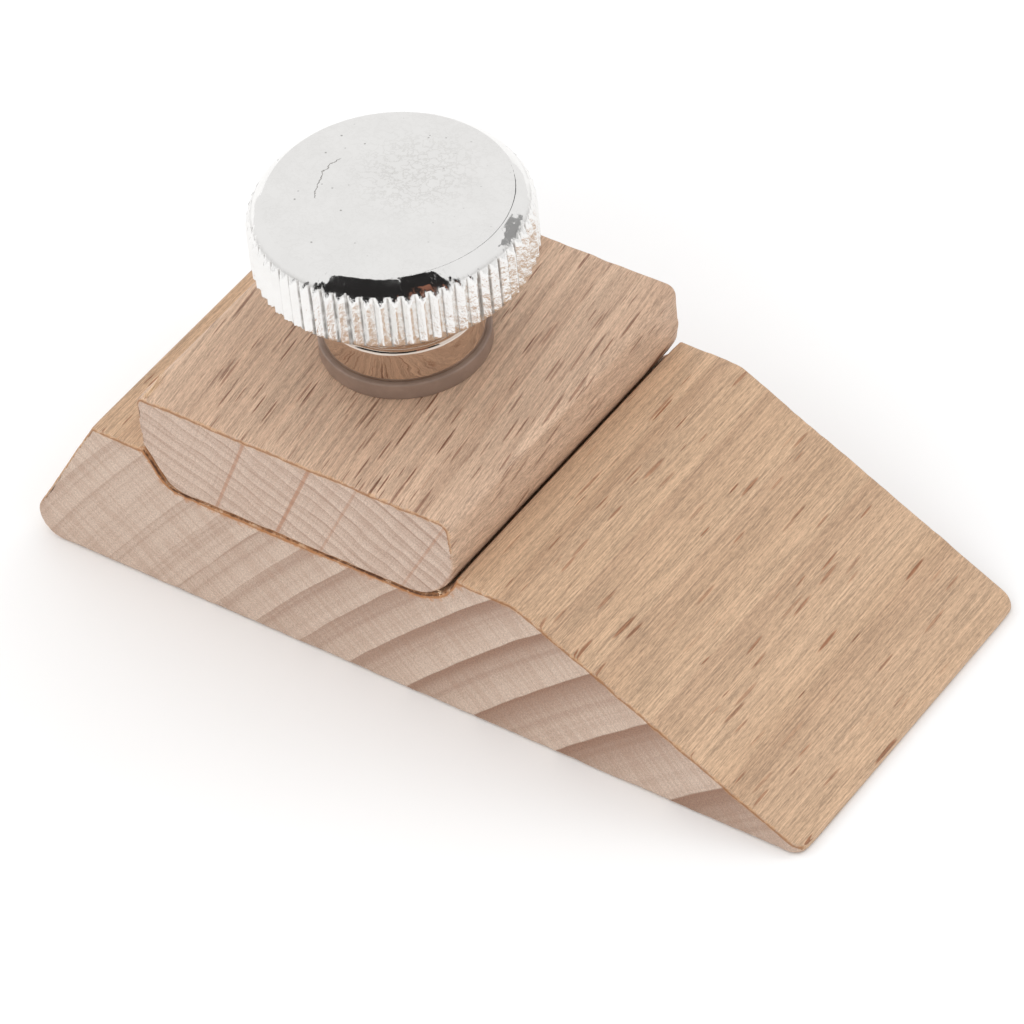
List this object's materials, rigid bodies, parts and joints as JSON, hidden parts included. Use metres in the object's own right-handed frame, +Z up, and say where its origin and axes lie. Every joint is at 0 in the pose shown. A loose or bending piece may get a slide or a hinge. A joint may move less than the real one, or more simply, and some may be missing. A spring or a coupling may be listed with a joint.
{
  "type": "sanding wedge",
  "caption": "Wooden wedge block with a seated wooden clamp plate, held down by a knurled chrome thumb screw on a plastic washer.",
  "frame": {"origin": "middle of the block's length and width, on the sole", "axes": "+X along the block to the thin nose, +Y across the width along the wood grain, +Z up along the screw"},
  "size_m": [0.0968, 0.042, 0.0472],
  "materials": {
    "beech_block": "sanded, unfinished beech, grain across the width",
    "beech_plate": "sanded, unfinished beech with dark ray flecks",
    "nylon": "milky, slightly translucent",
    "chrome": "polished plating on a die casting, a little pitted",
    "zinc_steel": "bright zinc plate",
    "brass": "as machined"
  },
  "bodies": {
    "base": {"base_block": "beech_block", "threaded_insert": "brass"},
    "plate": {"clamp_plate": "beech_plate"},
    "washer_ring": {"washer": "nylon"},
    "knob": {"thumb_knob": "chrome", "knob_stud": "zinc_steel"}
  },
  "joints": [
    {"name": "washer_lift", "type": "slide", "parent": "base", "child": "washer_ring", "axis": [0, 0, 1], "range_m": [0, 0.00875]},
    {"name": "knob_spin", "type": "hinge", "parent": "washer_ring", "child": "knob", "pos_m": [-0.01215, 0, 0.029], "axis": [0, 0, 1], "range_deg": [0, 2520]},
    {"name": "plate_lift", "type": "slide", "parent": "base", "child": "plate", "axis": [0, 0, 1], "range_m": [0, 0.00875]}
  ],
  "couplings": [
    {"joint": "washer_lift", "follows": "knob_spin", "m_per_rad": 0.00019894},
    {"joint": "plate_lift", "follows": "knob_spin", "m_per_rad": 0.00019894}
  ]
}
